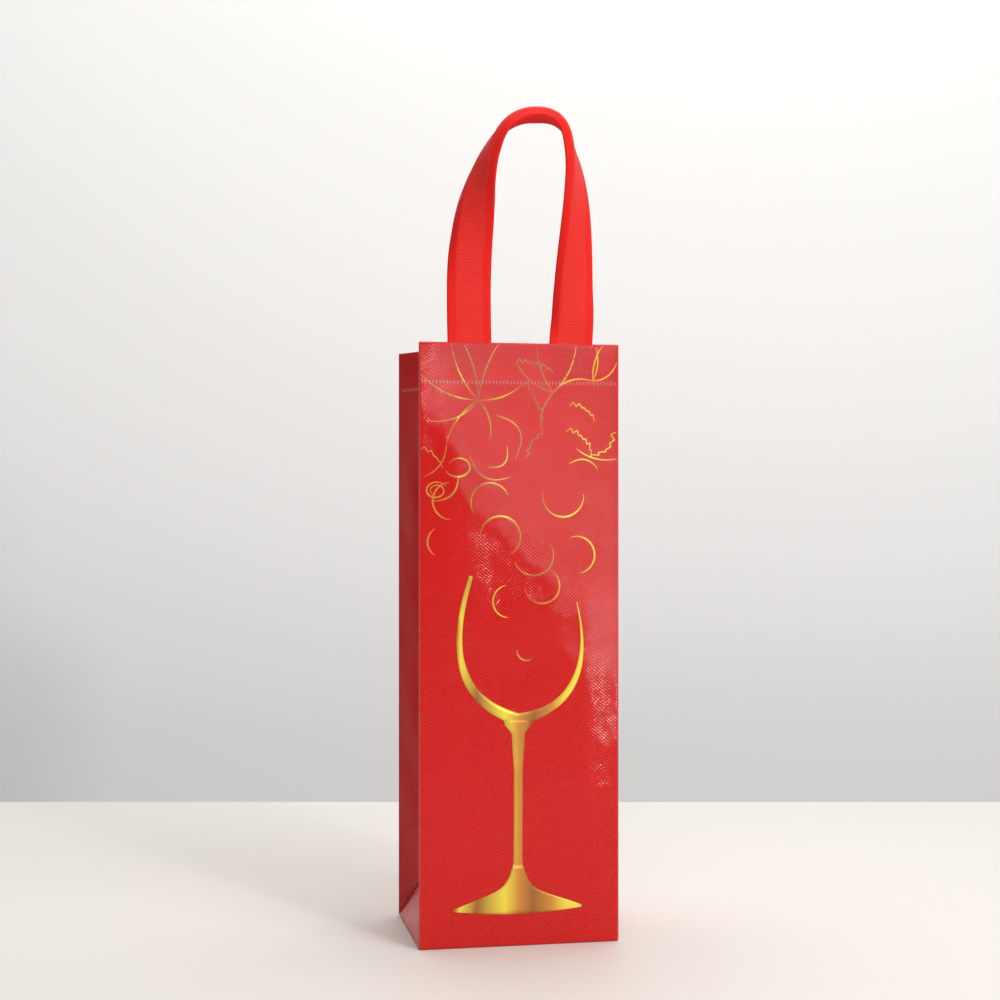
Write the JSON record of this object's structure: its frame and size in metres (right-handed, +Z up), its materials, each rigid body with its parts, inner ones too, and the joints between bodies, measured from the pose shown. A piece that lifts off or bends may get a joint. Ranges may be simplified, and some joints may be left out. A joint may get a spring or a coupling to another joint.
{
  "type": "wine gift bag",
  "caption": "Tall free-standing gift bag for a wine bottle, with creased side walls that fold flat, a turned-in hem and flat strap handles.",
  "frame": {"origin": "centre of the floor's underside, on the surface that the bag stands on", "axes": "+Z up, -Y out of the printed front wall, +X to the right as seen from the front"},
  "size_m": [0.12, 0.1499, 0.4935],
  "materials": {
    "printed_fabric": "gloss film over an embossed non-woven",
    "strap_fabric": "matt embossed non-woven tape",
    "gold_print": "satin metallic print"
  },
  "bodies": {
    "root": {"back_panel": "printed_fabric", "back_hem": "printed_fabric", "base_panel": "printed_fabric", "left_gusset_front": "printed_fabric", "left_gusset_rear": "printed_fabric", "left_base_triangle": "printed_fabric", "left_hem_front": "printed_fabric", "left_hem_rear": "printed_fabric", "right_gusset_front": "printed_fabric", "right_gusset_rear": "printed_fabric", "right_base_triangle": "printed_fabric", "right_hem_front": "printed_fabric", "right_hem_rear": "printed_fabric", "back_tab_left": "strap_fabric", "back_tab_right": "strap_fabric"},
    "front": {"front_panel": "printed_fabric", "front_hem": "printed_fabric", "front_tab_left": "strap_fabric", "front_tab_right": "strap_fabric"},
    "front_handle": {"front_handle": "strap_fabric"},
    "back_handle": {"back_handle": "strap_fabric"}
  },
  "joints": [
    {"name": "flat_fold", "type": "slide", "parent": "root", "child": "front", "axis": [0, 1, 0], "range_m": [0, 0.082], "deforming": ["left_gusset_front", "left_gusset_rear", "left_base_triangle", "left_hem_front", "left_hem_rear", "right_gusset_front", "right_gusset_rear", "right_base_triangle", "right_hem_front", "right_hem_rear", "base_panel"]},
    {"name": "front_handle_swing", "type": "hinge", "parent": "front", "child": "front_handle", "pos_m": [0, -0.0458, 0.3555], "axis": [1, 0, 0], "range_deg": [0, 166]},
    {"name": "back_handle_swing", "type": "hinge", "parent": "root", "child": "back_handle", "pos_m": [0, 0.0458, 0.3555], "axis": [1, 0, 0], "range_deg": [0, 166]}
  ]
}
